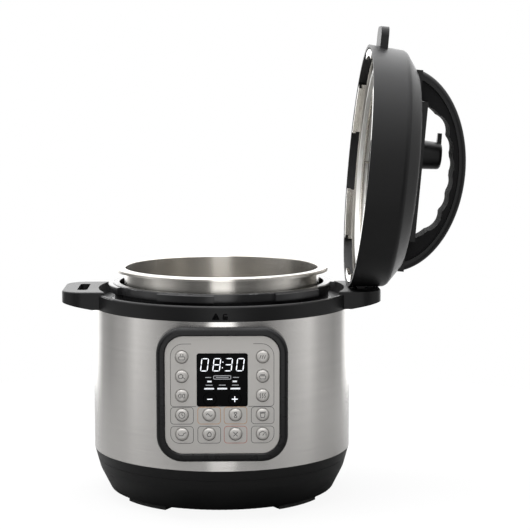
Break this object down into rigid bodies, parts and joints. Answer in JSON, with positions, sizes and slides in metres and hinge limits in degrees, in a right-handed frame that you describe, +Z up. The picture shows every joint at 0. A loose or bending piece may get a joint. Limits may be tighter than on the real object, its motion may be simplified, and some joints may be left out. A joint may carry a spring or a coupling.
{
  "type": "electric pressure cooker",
  "caption": "Electric pressure cooker with a steel drum body, lift-out pot, front key panel, and a domed handled lid stood open in the side handle's slot.",
  "frame": {"origin": "on the table under the pot's axis", "axes": "+Z up along the pot's axis, control panel towards -Y, the opened lid towards +X"},
  "size_m": [0.3808, 0.269, 0.4413],
  "materials": {
    "brushed_steel": "fine horizontal brushing",
    "black_plastic": "satin moulded black",
    "handle_black": "satin moulded black",
    "gloss_black": "glossy black",
    "silver_film": "silver film",
    "key_silver": "silver film over a dome",
    "display_black": "dark window",
    "rubber": "matt black",
    "silicone": "translucent white silicone",
    "polished_steel": "polished stainless steel",
    "plain_steel": "plain steel",
    "aluminium": "cast and turned",
    "black_coated": "black coated metal",
    "circuit_board": "green board",
    "component": "moulded component",
    "brass": "plated",
    "clear_plastic": "clear plastic"
  },
  "bodies": {
    "base": {"outer_shell": "brushed_steel", "rim_ring": "black_plastic", "base_tray": "black_plastic", "rubber_feet": "rubber", "bottom_plate": "plain_steel", "base_screws": "plain_steel", "outer_pot": "plain_steel", "locking_flange": "black_coated", "heating_plate": "aluminium", "heating_tube": "plain_steel", "plate_spacers": "plain_steel", "sensor_holder": "aluminium", "sensor_spring": "plain_steel", "thermal_fuse": "plain_steel", "power_board": "circuit_board", "power_board_parts": "component", "power_inlet": "black_plastic", "inlet_pins": "brass", "panel_bezel": "gloss_black", "panel_faceplate": "silver_film", "display_window": "display_black", "display_module": "component", "control_board": "circuit_board", "tact_switches": "component", "panel_screws": "plain_steel", "cup_bracket": "black_plastic"},
    "lid": {"lid_shell": "black_plastic", "lid_inner": "polished_steel", "handle_cover": "handle_black", "handle_grip": "black_plastic", "sealing_ring": "silicone", "ring_rack": "polished_steel", "steam_pipe": "polished_steel", "antiblock_shield": "polished_steel", "lid_screws": "plain_steel"},
    "pot": {"inner_pot": "polished_steel", "pot_base_disc": "aluminium"},
    "steam_valve": {"steam_knob": "handle_black", "valve_plunger": "polished_steel"},
    "float_valve": {"float_pin": "polished_steel", "float_cap": "silicone"},
    "sensor": {"sensor_cap": "aluminium"},
    "drip_cup": {"drip_cup": "clear_plastic"},
    "key_soup": {"key_soup": "key_silver"},
    "key_meat": {"key_meat": "key_silver"},
    "key_bean": {"key_bean": "key_silver"},
    "key_slow_cook": {"key_slow_cook": "key_silver"},
    "key_saute": {"key_saute": "key_silver"},
    "key_rice": {"key_rice": "key_silver"},
    "key_porridge": {"key_porridge": "key_silver"},
    "key_steam": {"key_steam": "key_silver"},
    "key_yogurt": {"key_yogurt": "key_silver"},
    "key_pressure_cook": {"key_pressure_cook": "key_silver"},
    "key_pressure_level": {"key_pressure_level": "key_silver"},
    "key_delay_start": {"key_delay_start": "key_silver"},
    "key_keep_warm": {"key_keep_warm": "key_silver"},
    "key_cancel": {"key_cancel": "key_silver"},
    "key_minus": {"key_minus": "display_black"},
    "key_plus": {"key_plus": "display_black"}
  },
  "joints": [
    {"name": "lid_lift", "type": "slide", "parent": "base", "child": "lid", "axis": [0.0872, 0, 0.9962], "range_m": [0, 0.06]},
    {"name": "pot_lift", "type": "slide", "parent": "base", "child": "pot", "axis": [0, 0, 1], "range_m": [0, 0.15]},
    {"name": "steam_knob_turn", "type": "hinge", "parent": "lid", "child": "steam_valve", "pos_m": [0.19566, 0.025, 0.31929], "axis": [0.9962, 0, -0.0872], "range_deg": [-50, 0]},
    {"name": "float_rise", "type": "slide", "parent": "lid", "child": "float_valve", "axis": [0.9962, 0, -0.0872], "range_m": [0, 0.005]},
    {"name": "sensor_press", "type": "slide", "parent": "base", "child": "sensor", "axis": [0, 0, 1], "range_m": [-0.003, 0], "stiffness_N_per_m": 600, "springref_m": 0.002, "deforming": ["sensor_spring"]},
    {"name": "cup_slide", "type": "slide", "parent": "base", "child": "drip_cup", "axis": [0, 1, 0], "range_m": [0, 0.03]},
    {"name": "key_soup_press", "type": "slide", "parent": "base", "child": "key_soup", "axis": [0, 1, 0], "range_m": [0, 0.0005], "stiffness_N_per_m": 1000},
    {"name": "key_meat_press", "type": "slide", "parent": "base", "child": "key_meat", "axis": [0, 1, 0], "range_m": [0, 0.0005], "stiffness_N_per_m": 1000},
    {"name": "key_bean_press", "type": "slide", "parent": "base", "child": "key_bean", "axis": [0, 1, 0], "range_m": [0, 0.0005], "stiffness_N_per_m": 1000},
    {"name": "key_slow_cook_press", "type": "slide", "parent": "base", "child": "key_slow_cook", "axis": [0, 1, 0], "range_m": [0, 0.0005], "stiffness_N_per_m": 1000},
    {"name": "key_saute_press", "type": "slide", "parent": "base", "child": "key_saute", "axis": [0, 1, 0], "range_m": [0, 0.0005], "stiffness_N_per_m": 1000},
    {"name": "key_rice_press", "type": "slide", "parent": "base", "child": "key_rice", "axis": [0, 1, 0], "range_m": [0, 0.0005], "stiffness_N_per_m": 1000},
    {"name": "key_porridge_press", "type": "slide", "parent": "base", "child": "key_porridge", "axis": [0, 1, 0], "range_m": [0, 0.0005], "stiffness_N_per_m": 1000},
    {"name": "key_steam_press", "type": "slide", "parent": "base", "child": "key_steam", "axis": [0, 1, 0], "range_m": [0, 0.0005], "stiffness_N_per_m": 1000},
    {"name": "key_yogurt_press", "type": "slide", "parent": "base", "child": "key_yogurt", "axis": [0, 1, 0], "range_m": [0, 0.0005], "stiffness_N_per_m": 1000},
    {"name": "key_pressure_cook_press", "type": "slide", "parent": "base", "child": "key_pressure_cook", "axis": [0, 1, 0], "range_m": [0, 0.0005], "stiffness_N_per_m": 1000},
    {"name": "key_pressure_level_press", "type": "slide", "parent": "base", "child": "key_pressure_level", "axis": [0, 1, 0], "range_m": [0, 0.0005], "stiffness_N_per_m": 1000},
    {"name": "key_delay_start_press", "type": "slide", "parent": "base", "child": "key_delay_start", "axis": [0, 1, 0], "range_m": [0, 0.0005], "stiffness_N_per_m": 1000},
    {"name": "key_keep_warm_press", "type": "slide", "parent": "base", "child": "key_keep_warm", "axis": [0, 1, 0], "range_m": [0, 0.0005], "stiffness_N_per_m": 1000},
    {"name": "key_cancel_press", "type": "slide", "parent": "base", "child": "key_cancel", "axis": [0, 1, 0], "range_m": [0, 0.0005], "stiffness_N_per_m": 1000},
    {"name": "key_minus_press", "type": "slide", "parent": "base", "child": "key_minus", "axis": [0, 1, 0], "range_m": [0, 0.0005], "stiffness_N_per_m": 1000},
    {"name": "key_plus_press", "type": "slide", "parent": "base", "child": "key_plus", "axis": [0, 1, 0], "range_m": [0, 0.0005], "stiffness_N_per_m": 1000}
  ]
}
